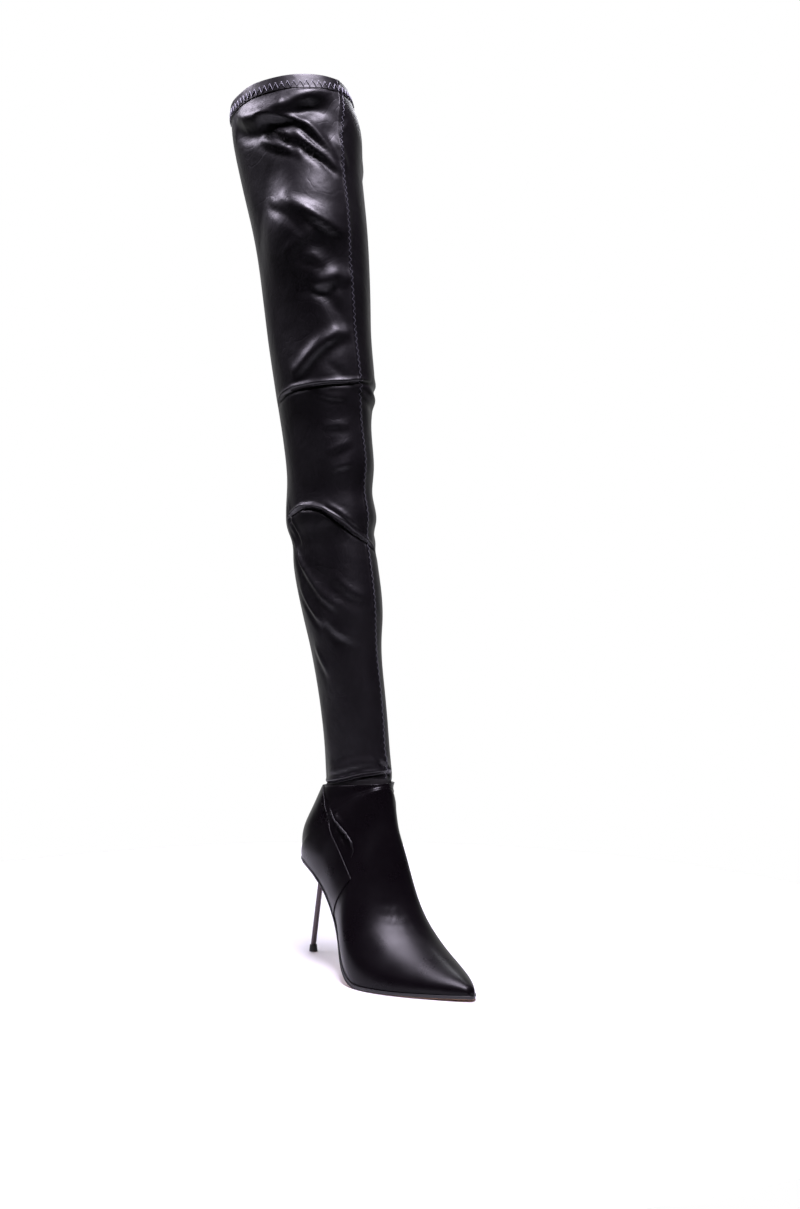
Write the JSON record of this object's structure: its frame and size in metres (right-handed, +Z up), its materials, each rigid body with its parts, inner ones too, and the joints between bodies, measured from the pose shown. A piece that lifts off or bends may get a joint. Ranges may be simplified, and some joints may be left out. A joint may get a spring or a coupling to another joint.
{
  "type": "thigh high boot",
  "caption": "Pointed thigh high boot with a thin pin heel, a lasted foot with a stiff heel quarter, and a tall stretch shaft with a turned hem.",
  "frame": {"origin": "centre of the heel tip's underside, on the floor", "axes": "+Z up the leg, -Y towards the toe, -X towards the outer side of the foot"},
  "size_m": [0.1153, 0.3264, 0.8154],
  "materials": {
    "vamp_leather": "smooth satin black imitation leather",
    "quarter_leather": "smooth satin black imitation leather, stiffened",
    "stretch_leather": "glossy black stretch imitation leather",
    "sole": "satin black edge",
    "sock": "matt lining",
    "pin": "polished gunmetal",
    "tip": "satin black"
  },
  "bodies": {
    "root": {"upper": "vamp_leather", "quarter": "quarter_leather", "shaft": "stretch_leather", "outsole": "sole", "insole": "sock", "heel_pin": "pin", "heel_tip": "tip"}
  },
  "joints": []
}
